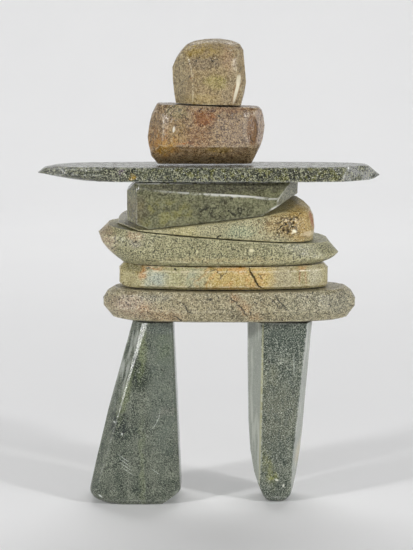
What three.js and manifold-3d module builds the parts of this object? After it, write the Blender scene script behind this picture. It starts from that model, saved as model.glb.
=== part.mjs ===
// Inukshuk: a small standing figure built from ten ground and polished stones.
// Millimetres, +Z up. The figure faces -Y and the viewer's right is +X.
//
// Every stone starts as a rough pebble, the hull of a few level outlines. Its facets are
// then ground one by one, and its bearing flats are cut last.

import Module from 'manifold-3d';
import * as THREE from 'three';
import { ConvexGeometry } from 'three/addons/geometries/ConvexGeometry.js';
import { mergeVertices } from 'three/addons/utils/BufferGeometryUtils.js';

const wasm = await Module();
wasm.setup();

// The thin line between two stones that rest on each other.
const JOINT_GAP = 0.3;

// How far each stone reaches from the plumb line of the stack, and how thick it is there.
const LEG_HEIGHT = 131.5;

const HIP_LEFT = 76;
const HIP_RIGHT = 105;
const HIP_DEPTH = 70;
const HIP_THICKNESS = 24;

const BELT_LEFT = 64;
const BELT_RIGHT = 85.2;
const BELT_DEPTH = 58;
const BELT_THICKNESS = 17;

const CHEST_LEFT = 78.7;
const CHEST_RIGHT = 92.6;
const CHEST_DEPTH = 66;
const CHEST_THICKNESS = 22.4;

const WEDGE_LEFT = 65;
const WEDGE_RIGHT = 75.2;
const WEDGE_DEPTH = 62;
const WEDGE_THICKNESS = 13.7;

const SHOULDER_LEFT = 57.8;
const SHOULDER_RIGHT = 63;
const SHOULDER_DEPTH = 56;
const SHOULDER_THICKNESS = 22.1;

const ARM_LEFT = 121.2;
const ARM_RIGHT = 121.2;
const ARM_DEPTH = 54;
const ARM_THICKNESS = 11;

const NECK_LEFT = 43.5;
const NECK_RIGHT = 39.7;
const NECK_DEPTH = 48;
const NECK_THICKNESS = 42;

const HEAD_LEFT = 25.8;
const HEAD_RIGHT = 26.4;
const HEAD_DEPTH = 42;
const HEAD_THICKNESS = 46.2;

// The legs stand this far in from the two ends of the hip slab. The left leg spreads
// outwards on its way down to a broad foot.
const LEFT_LEG_INSET = 21.8;
const LEFT_LEG_TOP_WIDTH = 29.5;
const LEFT_LEG_FOOT_WIDTH = 66.6;
const LEFT_LEG_SPREAD = 31.8;
const LEFT_LEG_DEPTH = 48;

const RIGHT_LEG_INSET = 31;
const RIGHT_LEG_TOP_WIDTH = 46.4;
const RIGHT_LEG_DEPTH = 42;

// Slopes of the bearing flats that aren't level: the rise towards the right and the back.
const CHEST_TOP_SLOPE = { right: -0.075, back: 0.07 };
const WEDGE_TOP_SLOPE = { right: 0.12, back: 0.2 };
const NECK_TOP_SLOPE = { right: -0.036, back: 0 };
const LEVEL = { right: 0, back: 0 };

// Points on each quarter of a level outline.
const QUARTER_STEPS = 9;

// A cutting block larger than any stone.
const BLOCK = 3 * (ARM_LEFT + ARM_RIGHT);

// One value may stand for both of a pair.
function pair(value) {
  return Array.isArray(value) ? value : [value, value];
}

// A bed is the plane between two stones: its height on the plumb line and its slope.
function bedAt(height, slope = LEVEL) {
  return { height, slope };
}

function heightOn(bed, x, y) {
  return bed.height + bed.slope.right * x + bed.slope.back * y;
}

function bedNormal(bed) {
  return new THREE.Vector3(-bed.slope.right, -bed.slope.back, 1).normalize();
}

// One quarter of an outline, from the X axis round to the Y axis. A fullness of 2 gives
// an ellipse, more gives squarer corners and less gives pointed ends.
function quarter(reachX, reachY, fullness) {
  const points = [];
  for (let i = 0; i < QUARTER_STEPS; i += 1) {
    const angle = (Math.PI / 2) * (i / QUARTER_STEPS);
    const x = reachX * Math.cos(angle) ** (2 / fullness);
    const y = reachY * Math.sin(angle) ** (2 / fullness);
    points.push([x, y]);
  }
  return points;
}

// A closed outline in plan with its own reach to the left and to the right. Its front
// and its back may differ in fullness.
function outline({ left, right, half, fullness }) {
  const middle = (right - left) / 2;
  const halfWidth = (right + left) / 2;
  const [frontFullness, backFullness] = pair(fullness);
  const points = [[middle, half], [middle, -half]];
  for (const [x, y] of quarter(halfWidth, half, backFullness)) {
    points.push([middle + x, y], [middle - x, y]);
  }
  for (const [x, y] of quarter(halfWidth, half, frontFullness)) {
    points.push([middle + x, -y], [middle - x, -y]);
  }
  return points;
}

// A mesh becomes a solid once its shared corners are merged.
function solidFrom(geometry) {
  const bare = geometry.index ? geometry.toNonIndexed() : geometry.clone();
  bare.deleteAttribute('normal');
  bare.deleteAttribute('uv');
  const merged = mergeVertices(bare, 1e-4);
  return new wasm.Manifold(new wasm.Mesh({
    numProp: 3,
    vertProperties: new Float32Array(merged.attributes.position.array),
    triVerts: new Uint32Array(merged.index.array),
  }));
}

// One level of a rough stone. It lies at a share of the way up from the lower bed to the
// upper bed, and that share may change from the left end to the right end. It's drawn in
// from the stone's full reach at the left, at the right, and at both front and back.
function level(up, inLeft, inRight, inFront, fullness) {
  return { up, inLeft, inRight, inFront, fullness };
}

// One facet: its heading, clockwise in degrees from the front towards the viewer's right,
// its tilt, in degrees up from upright, and how deep the wheel bites.
function facet(heading, tilt, bite) {
  return { heading, tilt, bite };
}

// The rough stone between two beds is the hull of its levels.
function roughStone({ left, right, depth, measure, lower, upper, levels }) {
  const points = [];
  for (const { up, inLeft, inRight, inFront, fullness } of levels) {
    const reach = {
      left: left - inLeft * measure,
      right: right - inRight * measure,
      half: depth / 2 - inFront * measure,
      fullness,
    };
    const [shareLeft, shareRight] = pair(up);
    for (const [x, y] of outline(reach)) {
      const across = (x + reach.left) / (reach.left + reach.right);
      const share = shareLeft + (shareRight - shareLeft) * across;
      const low = heightOn(lower, x, y);
      const high = heightOn(upper, x, y);
      points.push(new THREE.Vector3(x, y, low + (high - low) * share));
    }
  }
  return solidFrom(new ConvexGeometry(points));
}

// Everything beyond a plane that passes through a point is cut away.
function cutBeyond(solid, point, normal) {
  const block = new THREE.BoxGeometry(BLOCK, BLOCK, BLOCK);
  const turn = new THREE.Quaternion().setFromUnitVectors(new THREE.Vector3(0, 0, 1), normal);
  const centre = normal.clone().multiplyScalar(BLOCK / 2).add(point);
  block.applyQuaternion(turn);
  block.translate(centre.x, centre.y, centre.z);
  return solid.subtract(solidFrom(block));
}

// A facet is ground flat until the wheel is its bite deep in the stone.
function grind(solid, { heading, tilt, bite }, measure) {
  const turn = THREE.MathUtils.degToRad(heading);
  const rise = THREE.MathUtils.degToRad(tilt);
  const normal = new THREE.Vector3(
    Math.sin(turn) * Math.cos(rise),
    -Math.cos(turn) * Math.cos(rise),
    Math.sin(rise),
  );
  const corners = solid.getMesh().vertProperties;
  let furthest = -Infinity;
  for (let i = 0; i < corners.length; i += 3) {
    const corner = new THREE.Vector3().fromArray(corners, i);
    furthest = Math.max(furthest, corner.dot(normal));
  }
  return cutBeyond(solid, normal.clone().multiplyScalar(furthest - bite * measure), normal);
}

// The bearing flat under a stone leaves the joint gap open where a stone lies below.
function seatOn(solid, bed, gap = JOINT_GAP) {
  return cutBeyond(solid, new THREE.Vector3(0, 0, bed.height + gap), bedNormal(bed).negate());
}

function levelOff(solid, bed) {
  return cutBeyond(solid, new THREE.Vector3(0, 0, bed.height), bedNormal(bed));
}

// A whole stone. The shares in its levels and facets are shares of one size of its own,
// its measure.
function carve({ lower, upper, gap, facets = [], measure, ...rest }) {
  let solid = roughStone({ lower, upper, measure, ...rest });
  for (const ground of facets) {
    solid = grind(solid, ground, measure);
  }
  return levelOff(seatOn(solid, lower, gap), upper);
}

function stone(name, solid, colour, roughness) {
  const mesh = solid.getMesh();
  const geometry = new THREE.BufferGeometry();
  geometry.setAttribute('position', new THREE.BufferAttribute(mesh.vertProperties, 3));
  geometry.setIndex(new THREE.BufferAttribute(mesh.triVerts, 1));
  const faceted = geometry.toNonIndexed();
  faceted.computeVertexNormals();
  const material = new THREE.MeshStandardMaterial({ color: colour, roughness, metalness: 0 });
  const piece = new THREE.Mesh(faceted, material);
  piece.name = name;
  return piece;
}

// The beds, from the floor up. Each one lies a stone's thickness above the last.
const floorBed = bedAt(0);
const legBed = bedAt(LEG_HEIGHT);
const hipBed = bedAt(legBed.height + HIP_THICKNESS);
const beltBed = bedAt(hipBed.height + BELT_THICKNESS);
const chestBed = bedAt(beltBed.height + CHEST_THICKNESS, CHEST_TOP_SLOPE);
const wedgeBed = bedAt(chestBed.height + WEDGE_THICKNESS, WEDGE_TOP_SLOPE);
const shoulderBed = bedAt(wedgeBed.height + SHOULDER_THICKNESS);
const armBed = bedAt(shoulderBed.height + ARM_THICKNESS);
const neckBed = bedAt(armBed.height + NECK_THICKNESS, NECK_TOP_SLOPE);
const crown = bedAt(neckBed.height + HEAD_THICKNESS);

// Left leg: a tapered slab that leans in to the hips from a broad foot. Its outer edge
// bows out a little, and its inner edge comes in towards the top.
function leftLeg() {
  const outerTop = HIP_LEFT - LEFT_LEG_INSET;
  const outerFoot = outerTop + LEFT_LEG_SPREAD;
  const innerFoot = outerFoot - LEFT_LEG_FOOT_WIDTH;
  const innerTop = outerTop - LEFT_LEG_TOP_WIDTH;
  const lean = LEFT_LEG_SPREAD / LEFT_LEG_DEPTH;
  const taper = (innerTop - innerFoot) / LEFT_LEG_DEPTH;
  const solid = carve({
    left: outerFoot,
    right: -innerFoot,
    depth: LEFT_LEG_DEPTH,
    measure: LEFT_LEG_DEPTH,
    lower: floorBed,
    upper: legBed,
    gap: 0,
    levels: [
      level(0, 0.19, 0.1, 0.06, 4),
      level(0.025, 0.06, 0.04, 0.012, 5),
      level(0.07, 0, 0, 0, 9),
      level(0.5, 0.425 * lean, 0.5 * taper, 0.04, 9),
      level(1, lean, taper, 0.1, 9),
    ],
    facets: [
      facet(-56, 14.5, 0.107),
      facet(90, -51, 0.115),
    ],
  });
  return stone('left_leg', solid, '#7f8a7c', 0.3);
}

// Right leg: a block with ground long edges that tapers to a small foot.
function rightLeg() {
  const outerTop = HIP_RIGHT - RIGHT_LEG_INSET;
  const solid = carve({
    left: RIGHT_LEG_TOP_WIDTH - outerTop,
    right: outerTop,
    depth: RIGHT_LEG_DEPTH,
    measure: RIGHT_LEG_TOP_WIDTH,
    lower: floorBed,
    upper: legBed,
    gap: 0,
    levels: [
      level(0, 0.31, 0.42, 0.15, 9),
      level(0.03, 0.24, 0.33, 0.085, 9),
      level(0.08, 0.18, 0.28, 0.045, 9),
      level(0.17, 0.097, 0.226, 0.02, 9),
      level(0.28, 0.045, 0.172, 0, 9),
      level(0.42, 0.02, 0.134, 0, 9),
      level(0.76, 0.004, 0.052, 0, 9),
      level(1, 0, 0, 0.02, 9),
    ],
    facets: [
      facet(-60, 0, 0.13),
      facet(70, -5, 0.078),
      facet(135, 0, 0.108),
    ],
  });
  return stone('right_leg', solid, '#7c8878', 0.3);
}

// Hip slab: a long oval slab with blunt rounded ends.
function hipSlab() {
  const solid = carve({
    left: HIP_LEFT,
    right: HIP_RIGHT,
    depth: HIP_DEPTH,
    measure: HIP_THICKNESS,
    lower: legBed,
    upper: hipBed,
    levels: [
      level(0, 0.71, 0.58, 0.54, 2.8),
      level(0.1, 0.29, 0.25, 0.17, 2.6),
      level(0.42, 0.015, 0, 0, 2.4),
      level(0.65, 0.01, 0, 0, 2.3),
      level(0.87, 0.145, 0.125, 0.012, 2.3),
      level(1, 0.35, 0.29, 0.042, 2.2),
    ],
  });
  return stone('hip_slab', solid, '#99917a', 0.45);
}

// Belt slab: thin, with upright sides, set back behind the slabs above and below it.
function beltSlab() {
  const solid = carve({
    left: BELT_LEFT,
    right: BELT_RIGHT,
    depth: BELT_DEPTH,
    measure: BELT_THICKNESS,
    lower: hipBed,
    upper: beltBed,
    levels: [
      level(0, 0.18, 0.06, 0.18, 2.5),
      level(0.15, 0, 0, 0, 2.5),
      level(0.8, 0, 0, 0, 2.5),
      level(1, 0.18, 0.18, 0.12, 2.5),
    ],
    facets: [facet(-40, 38, 0.18)],
  });
  return stone('belt_slab', solid, '#a8946a', 0.4);
}

// Chest slab: thick at the left, with a blunt left end and a pointed right end.
function chestSlab() {
  const solid = carve({
    left: CHEST_LEFT,
    right: CHEST_RIGHT,
    depth: CHEST_DEPTH,
    measure: CHEST_THICKNESS,
    lower: beltBed,
    upper: chestBed,
    levels: [
      level(0, 0.795, 0.565, 0.18, 2.4),
      level([0.17, 0.1], 0.525, 0.425, 0.022, 2.4),
      level([0.32, 0.18], 0.32, 0.245, 0, 2.4),
      level([0.54, 0.3], 0.094, 0.11, 0, 2.4),
      level([0.77, 0.47], 0, 0, 0, 2.2),
      level(1, 0.31, 0.345, 0.045, [2.2, 3.4]),
    ],
  });
  return stone('chest_slab', solid, '#8d8a6c', 0.4);
}

// Wedge slab: nearly nothing at the left and thick at the right.
function wedgeSlab() {
  const solid = carve({
    left: WEDGE_LEFT,
    right: WEDGE_RIGHT,
    depth: WEDGE_DEPTH,
    measure: WEDGE_THICKNESS,
    lower: chestBed,
    upper: wedgeBed,
    levels: [
      level(0, 0, 0.06, 0.07, [2.8, 6]),
      level(0.3, 0, 0, 0, [2.8, 6]),
      level(0.6, 0, 0.065, 0, [2.8, 6]),
      level(0.8, 0.035, 0.255, 0, [2.8, 6]),
      level(0.93, 0.11, 0.58, 0.02, [2.8, 6]),
      level(1, 0.09, 0.91, 0.07, [2.8, 6]),
    ],
    facets: [facet(125, 10, 0.95)],
  });
  return stone('wedge_slab', solid, '#a0936c', 0.45);
}

// Shoulder slab: a dark block with a ground chamfer along its top front edge. Its lower
// corners are ground away, so it lifts off the wedge at both ends and clears the chest.
function shoulderSlab() {
  const block = carve({
    left: SHOULDER_LEFT,
    right: SHOULDER_RIGHT,
    depth: SHOULDER_DEPTH,
    measure: SHOULDER_THICKNESS,
    lower: wedgeBed,
    upper: shoulderBed,
    levels: [
      level(0, 0, 0, 0, 8),
      level(0.8, 0, 0, 0, 8),
      level(1, 0.27, 0, 0, 8),
    ],
    facets: [
      facet(-76, -68, 0.27),
      facet(82, -59, 0.41),
      facet(3.4, 40, 0.31),
      facet(-64, 0, 0.16),
      facet(60, -14, 0.36),
      facet(130, 0, 0.36),
      facet(-130, 0, 0.36),
    ],
  });
  return stone('shoulder_slab', seatOn(block, chestBed), '#5f624a', 0.3);
}

// Arm slab: long and thin, with ends that taper to an edge.
function armSlab() {
  const solid = carve({
    left: ARM_LEFT,
    right: ARM_RIGHT,
    depth: ARM_DEPTH,
    measure: ARM_THICKNESS,
    lower: shoulderBed,
    upper: armBed,
    levels: [
      level(0, 3, 0.82, 0.09, 3.4),
      level([0.25, 0.12], 1.27, 0.32, 0.03, 3),
      level([0.5, 0.32], 0, 0, 0, 2.8),
      level(0.85, 0.45, 0.59, 0.03, 3),
      level(1, 1.18, 0.82, 0.09, 3.2),
    ],
    facets: [
      facet(38, -8, 0.62),
      facet(-30, 0, 0.18),
    ],
  });
  return stone('arm_slab', solid, '#5c6355', 0.25);
}

// Neck stone: a rounded cobble with an undercut foot.
function neckStone() {
  const solid = carve({
    left: NECK_LEFT,
    right: NECK_RIGHT,
    depth: NECK_DEPTH,
    measure: NECK_THICKNESS,
    lower: armBed,
    upper: neckBed,
    levels: [
      level(0, 0.18, 0.226, 0.44, 3),
      level(0.14, 0.06, 0.152, 0.226, 3),
      level(0.33, 0.017, 0.067, 0.014, 3),
      level(0.45, 0, 0.029, 0, 3),
      level(0.68, 0.033, 0, 0, 3),
      level(0.84, 0.08, 0.02, 0.024, 3),
      level(0.95, 0.14, 0.052, 0.048, 3),
      level(1, 0.167, 0.1, 0.07, 3),
    ],
    facets: [
      facet(-54, 3, 0.071),
      facet(62, 2, 0.062),
      facet(42, -4, 0.029),
      facet(140, 0, 0.095),
    ],
  });
  return stone('neck_stone', solid, '#7f6449', 0.4);
}

// Head stone: a rounded block with a domed top and flats ground on its cheeks.
function headStone() {
  const solid = carve({
    left: HEAD_LEFT,
    right: HEAD_RIGHT,
    depth: HEAD_DEPTH,
    measure: HEAD_THICKNESS,
    lower: neckBed,
    upper: crown,
    levels: [
      level(0, 0.052, 0.078, 0.043, 3.4),
      level(0.18, 0.022, 0.026, 0.011, 3.4),
      level(0.36, 0.006, 0, 0, 3.4),
      level(0.56, 0, 0.022, 0, 3.4),
      level(0.7, 0.056, 0.03, 0.022, 3.4),
      level(0.83, 0.139, 0.039, 0.087, 3.4),
      level(0.92, 0.227, 0.095, 0.173, 2.8),
      level(0.97, 0.338, 0.208, 0.26, 2.4),
      level(1, 0.52, 0.39, 0.39, 2),
    ],
    facets: [
      facet(-50, -4, 0.108),
      facet(62, 3, 0.039),
      facet(36, -14, 0.035),
      facet(-140, 0, 0.065),
    ],
  });
  return stone('head_stone', solid, '#94845f', 0.45);
}

const inukshuk = new THREE.Group();
inukshuk.add(
  leftLeg(),
  rightLeg(),
  hipSlab(),
  beltSlab(),
  chestSlab(),
  wedgeSlab(),
  shoulderSlab(),
  armSlab(),
  neckStone(),
  headStone(),
);

export default inukshuk;
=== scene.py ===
# %% [markdown]
# # A stone inukshuk
#
# An inukshuk is a figure built up from stones laid on each other. This one stands on a
# table: ten ground and polished stones, two for legs and the rest laid across them.
#
# The ten solids that come in here already have the right sizes, slopes and facets. What
# they lack is the surface of real stone: arrises worn a little round, faces that aren't
# quite flat, pits, cracks, and the colours of the rock. This lesson adds them.

# %% The frame
import math

import bmesh
import bpy
import numpy as np
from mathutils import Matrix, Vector, kdtree, noise


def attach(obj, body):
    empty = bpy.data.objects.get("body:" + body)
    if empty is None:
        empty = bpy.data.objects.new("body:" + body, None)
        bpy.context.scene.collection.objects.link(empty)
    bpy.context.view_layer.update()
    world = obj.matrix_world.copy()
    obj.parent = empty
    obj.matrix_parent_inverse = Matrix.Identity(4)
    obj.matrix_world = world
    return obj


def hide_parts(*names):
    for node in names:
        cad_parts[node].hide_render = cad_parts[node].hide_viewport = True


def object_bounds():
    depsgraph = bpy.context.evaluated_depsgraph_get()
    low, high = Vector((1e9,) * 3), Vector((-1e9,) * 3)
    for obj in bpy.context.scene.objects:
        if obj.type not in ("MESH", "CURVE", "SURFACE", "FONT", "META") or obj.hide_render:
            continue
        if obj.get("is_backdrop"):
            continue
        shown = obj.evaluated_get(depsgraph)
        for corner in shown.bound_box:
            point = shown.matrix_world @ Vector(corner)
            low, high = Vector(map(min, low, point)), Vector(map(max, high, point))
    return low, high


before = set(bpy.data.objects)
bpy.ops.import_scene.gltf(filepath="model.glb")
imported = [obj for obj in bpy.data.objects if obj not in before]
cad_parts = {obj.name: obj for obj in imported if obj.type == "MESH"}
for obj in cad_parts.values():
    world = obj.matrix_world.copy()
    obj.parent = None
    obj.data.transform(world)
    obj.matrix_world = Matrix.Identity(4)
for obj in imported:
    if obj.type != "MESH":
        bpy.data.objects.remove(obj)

MM = 0.001
studio = bpy.context.scene
cad_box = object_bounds()
print("The CAD box, in metres:", [tuple(round(v, 4) for v in corner) for corner in cad_box])

# %% [markdown]
# ## The camera
#
# A camera far off with a long lens flattens a small object, and one that's close makes it
# bulge. Here it stands 1.2 m away, a little above the crown, and looks down by 8.4
# degrees, so the tops of the slabs just show.

# %% The camera
LENS_LENGTH, SENSOR_WIDTH = 111.42, 36
CAMERA_PLACE = (-0.0016, -1.2, 0.34)
LOOKS_DOWN = 8.405
SEES_AS_FAR_AS = 20


def set_camera():
    lens = bpy.data.cameras.new("camera")
    lens.lens = LENS_LENGTH
    lens.sensor_width = SENSOR_WIDTH
    lens.clip_end = SEES_AS_FAR_AS
    camera = bpy.data.objects.new("camera", lens)
    camera.location = CAMERA_PLACE
    camera.rotation_euler = (math.radians(90 - LOOKS_DOWN), 0, 0)
    studio.collection.objects.link(camera)
    studio.camera = camera
    return camera


print("Camera at", tuple(round(v, 3) for v in set_camera().location))

# %% [markdown]
# ## The sweep
#
# Small objects are often photographed on a sweep: one pale surface that lies flat under
# the object and curves up behind it, so no line shows where floor becomes wall. This one
# is a round bowl that curves up on every side, so the object can be walked round. A grid
# is rolled into it: its columns become spokes and its rows become rings.

# %% Taking hold of one thing
def let_go():
    if bpy.context.mode != "OBJECT":
        bpy.ops.object.mode_set(mode="OBJECT")
    bpy.ops.object.select_all(action="DESELECT")


def take(piece):
    let_go()
    piece.select_set(True)
    bpy.context.view_layer.objects.active = piece


def open_up(piece, picked="SELECT"):
    """Opens a piece in edit mode, with all of it selected or none. let_go closes it."""
    take(piece)
    bpy.ops.object.mode_set(mode="EDIT")
    bpy.ops.mesh.select_all(action=picked)


# %% The sweep
SPOKES, RINGS = 120, 100
SWEEP_LENGTH = 4.2
FLAT_FLOOR = 2.0
BEND = 0.9
SEAM_WITHIN = 1e-4


def sweep_profile(along):
    """How far out and how high the bowl's surface has come, at a distance along it."""
    run = max(0.0, along - FLAT_FLOOR)
    turn = min(run / BEND, math.pi / 2)
    beyond = max(0.0, run - BEND * math.pi / 2)
    return min(along, FLAT_FLOOR) + BEND * math.sin(turn), BEND * (1 - math.cos(turn)) + beyond


def lay_sweep():
    let_go()
    bpy.ops.mesh.primitive_grid_add(x_subdivisions=SPOKES, y_subdivisions=RINGS, size=1,
                                    location=(0, 0, 0))
    bowl = bpy.context.object
    bowl.name = "sweep"
    for vertex in bowl.data.vertices:
        turn = 2 * math.pi * vertex.co.x
        out, up = sweep_profile(SWEEP_LENGTH * (vertex.co.y + 0.5))
        vertex.co = Vector((-out * math.cos(turn), out * math.sin(turn), up))
    open_up(bowl)
    bpy.ops.mesh.remove_doubles(threshold=SEAM_WITHIN)
    take(bowl)
    bpy.ops.object.shade_smooth()
    bowl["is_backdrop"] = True
    return bowl


sweep = lay_sweep()
floor_looks_up = all(face.normal.z > 0 for face in sweep.data.polygons if face.center.z < 1e-6)
print("Sweep faces:", len(sweep.data.polygons), "the floor looks up:", floor_looks_up)

# %% [markdown]
# ## The light
#
# Polished stone shows what's around it, so the room is dim. Two small soft boxes in
# front, well out to the sides, lay the two shadows that cross between the legs. A wide
# one overhead, behind the object, brightens the sweep. Three dim strips, two upright and
# one level, are there to be reflected: they draw the long pale lines on polished arrises.

# %% The light
def set_room(strength):
    room = bpy.data.worlds.new("dim_room")
    room.use_nodes = True
    backdrop = room.node_tree.nodes["Background"]
    backdrop.inputs["Color"].default_value = (0.97, 0.985, 1.0, 1)
    backdrop.inputs["Strength"].default_value = strength
    studio.world = room


def hang_softbox(name, place, target, width, height, watts):
    lamp = bpy.data.lights.new(name, "AREA")
    lamp.shape = "RECTANGLE"
    lamp.size = width
    lamp.size_y = height
    lamp.energy = watts
    softbox = bpy.data.objects.new(name, lamp)
    softbox.location = place
    aim = Vector(target) - Vector(place)
    softbox.rotation_euler = aim.to_track_quat("-Z", "Y").to_euler()
    studio.collection.objects.link(softbox)


WAIST = (0, 0, 0.15)
set_room(strength=0.08)
for name, side in (("left", -1), ("right", 1)):
    hang_softbox(name + "_softbox", (1.251 * side, -0.978, 0.78), WAIST,
                 width=0.16, height=0.22, watts=11.2)
    hang_softbox(name + "_strip", (1.128 * side, -0.69, 0.26), (0, 0, 0.12),
                 width=0.05, height=0.4, watts=2.8)
hang_softbox("brow_strip", (0, -0.95, 0.95), WAIST, width=1.2, height=0.05, watts=0.9)
hang_softbox("back_softbox", (0, 1.5, 2.1), (0, 1.5, 0), width=2.4, height=1.0, watts=37)
studio.view_settings.view_transform = "Standard"
studio.view_settings.look = "None"
print("Room, three soft boxes and three strips set")

# %% [markdown]
# ## From a plain solid to a worked stone
#
# A solid from CAD is a shell of long thin triangles. Stone wants small even faces that
# can be pressed in anywhere. So each stone is copied, its corners are merged, and it's
# rebuilt with Remesh in faces under a millimetre wide. Its Sharp mode keeps the arrises,
# which the voxel one would round, but it can pinch a few faces together, so those are
# mended.
#
# The edges that a wheel or a saw left are noted first. Later steps must know them: a
# stone is rubbed round away from its arrises, and an arris stays an arris.

# %% Lift a stone out
MERGE_WITHIN = 1e-5
FLAT_WITHIN = math.radians(0.6)
ARRIS_STEP = 0.4 * MM


def lift_stone(node):
    """A merged copy of one solid, with its flat faces whole."""
    stone = bpy.data.objects.new("polished_" + node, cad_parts[node].data.copy())
    stone.data.materials.clear()
    studio.collection.objects.link(stone)
    open_up(stone)
    bpy.ops.mesh.remove_doubles(threshold=MERGE_WITHIN)
    bpy.ops.mesh.dissolve_limited(angle_limit=FLAT_WITHIN)
    let_go()
    return stone


def plant_tree(points):
    """A tree that finds the nearest of many points."""
    tree = kdtree.KDTree(len(points))
    for i, point in enumerate(points):
        tree.insert(point, i)
    tree.balance()
    return tree


def find_arrises(stone, sharper_than):
    """Points along the edges sharper than an angle, in a tree that finds the nearest."""
    shape = bmesh.new()
    shape.from_mesh(stone.data)
    points = []
    for edge in shape.edges:
        if edge.is_manifold and math.degrees(edge.calc_face_angle()) > sharper_than:
            start, end = edge.verts[0].co, edge.verts[1].co
            steps = max(1, round((end - start).length / ARRIS_STEP))
            points += [start.lerp(end, i / steps) for i in range(steps + 1)]
    shape.free()
    return plant_tree(points)


# %% Modifiers that are applied at once
def work(stone, kind, **settings):
    """Adds a modifier, sets it and applies it."""
    tool = stone.modifiers.new(kind.lower(), kind)
    for setting, value in settings.items():
        setattr(tool, setting, value)
    take(stone)
    bpy.ops.object.modifier_apply(modifier=tool.name)


def read_points(stone, what="co"):
    """Each vertex's place in metres, or its normal, a row each."""
    values = np.empty(len(stone.data.vertices) * 3)
    stone.data.vertices.foreach_get(what, values)
    return values.reshape(-1, 3)


def move_points(stone, place):
    stone.data.vertices.foreach_set("co", place.ravel())
    stone.data.update()


def weigh(stone, name, weights):
    """A vertex group from one weight for each vertex."""
    group = stone.vertex_groups.new(name=name)
    for i, weight in enumerate(weights):
        group.add([i], float(weight), "REPLACE")
    return name


def step(value, low, high):
    """Runs smoothly from 0 at low to 1 at high."""
    share = np.clip((value - low) / (high - low), 0, 1)
    return share * share * (3 - 2 * share)


# %% [markdown]
# ## Rubbing it round
#
# A pebble that has been rubbed on wet grit is smooth where it's rounded, and has flats
# with slightly soft arrises where it was held to the wheel. Smooth does both: many
# rounds away from the arrises, and a single one over the whole stone.
#
# The left leg's outer corner and the right leg's foot are rubbed rounder than the rest,
# and a few narrow flats are ground by pressing back whatever stands proud of a plane.
#
# Hand-ground flats also swell and dip by a few tenths of a millimetre, which is what
# makes reflections wander. Displace with a cloud texture gives that, and it only ever
# presses in, so a stone never grows.

# %% Rub a stone round
GRAIN = 0.8
FULL_SCALE = 0.99
arrises_of = {}


def mend_pinches(stone):
    """Remesh can leave an edge where four faces meet. Each one is merged to a point."""
    open_up(stone, "DESELECT")
    bpy.ops.mesh.select_mode(type="EDGE")
    bpy.ops.mesh.select_non_manifold(use_wire=False, use_boundary=False, use_verts=False)
    bpy.ops.mesh.merge(type="COLLAPSE")
    let_go()


def rub(stone, sharper_than, rounds=30, keep=0.8, reach=3.5, grain=GRAIN):
    """Rebuilds a stone in faces of a grain's width and smooths it away from its arrises.

    The rounds leave out what lies within keep of an arris, and work fully beyond reach.
    One more light round goes over the whole stone."""
    arrises = find_arrises(stone, sharper_than)
    cells = max(stone.dimensions) / (grain * MM)
    depth = math.ceil(math.log2(cells / FULL_SCALE))
    work(stone, "REMESH", mode="SHARP", octree_depth=depth, scale=cells / 2 ** depth)
    mend_pinches(stone)
    away = np.array([arrises.find(vertex.co)[2] for vertex in stone.data.vertices]) / MM
    soft = weigh(stone, "soft", step(away, keep, reach))
    work(stone, "SMOOTH", factor=0.5, iterations=rounds, vertex_group=soft)
    work(stone, "SMOOTH", factor=0.5, iterations=1)
    stone.vertex_groups.clear()
    arrises_of[stone.name] = arrises


AROUND = 0.6


def grind_flat(stone, heading, tilt, bite, at=None):
    """Grinds a flat: whatever stands proud of a plane is pressed back to it.

    The heading is 0 at the front and 90 at the right, and a tilt above 0 looks up. The
    bite is measured from the stone's outermost point, or from its front at (x, z)."""
    turn, rise = math.radians(heading), math.radians(tilt)
    out = np.array((math.sin(turn) * math.cos(rise), -math.cos(turn) * math.cos(rise),
                    math.sin(rise)))
    place = read_points(stone)
    reach = place @ out
    furthest = reach.max()
    if at:
        off = np.hypot(place[:, 0] - at[0] * MM, place[:, 2] - at[1] * MM)
        furthest = reach[(off < AROUND * MM) & (place[:, 1] < 0)].mean()
    proud = np.clip(reach - furthest + bite * MM, 0, None)
    move_points(stone, place - proud[:, None] * out)
    print(stone.name, "flat ground from", int((proud > 0).sum()), "points")


def soften(stone, x, z, reach, rounds):
    """Rubs a corner rounder, within a reach of (x, z) in millimetres."""
    away = np.array([math.dist((v.co.x / MM, v.co.z / MM), (x, z)) for v in stone.data.vertices])
    group = weigh(stone, "corner", 1 - step(away, 0.5 * reach, reach))
    work(stone, "SMOOTH", factor=0.5, iterations=rounds, vertex_group=group)
    stone.vertex_groups.clear()


# %% Press a cloud in
def press_cloud(stone, cloud, size, depth, detail):
    """Where the cloud is white the stone stays, and where it's black it goes in all the way."""
    cloud.noise_scale = size * MM
    cloud.noise_depth = detail
    work(stone, "DISPLACE", texture=cloud, texture_coords="LOCAL",
         strength=depth * MM, mid_level=1.0)


def ripple(stone, **clouds):
    """Presses in clouds, each of a size and a depth in millimetres."""
    for name, (size, depth) in clouds.items():
        cloud = bpy.data.textures.new(stone.name + "_" + name, "CLOUDS")
        press_cloud(stone, cloud, size, depth, detail=2)


def pock(stone, size, depth, share):
    """Small natural pits: only the lowest share of a cloud presses in."""
    cloud = bpy.data.textures.new(stone.name + "_pocks", "CLOUDS")
    cloud.use_color_ramp = True
    black, white = cloud.color_ramp.elements
    black.position, black.color = share, (0, 0, 0, 1)
    white.position, white.color = share + 0.1, (1, 1, 1, 1)
    press_cloud(stone, cloud, size, depth, detail=1)


# %% [markdown]
# ## Cracks, scratches and pits
#
# A crack in rock wanders, narrows to nothing at both ends and gathers dirt. It could be
# painted on, but a real groove catches the light, so it's cut: the faces along its path
# are subdivided, and their corners are pressed in. An attribute remembers where, and the
# colours read it later.
#
# Left alone, Blender's noise vectors take their seed from the clock, and every run would
# wander another way. So the seed is set here.

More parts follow.
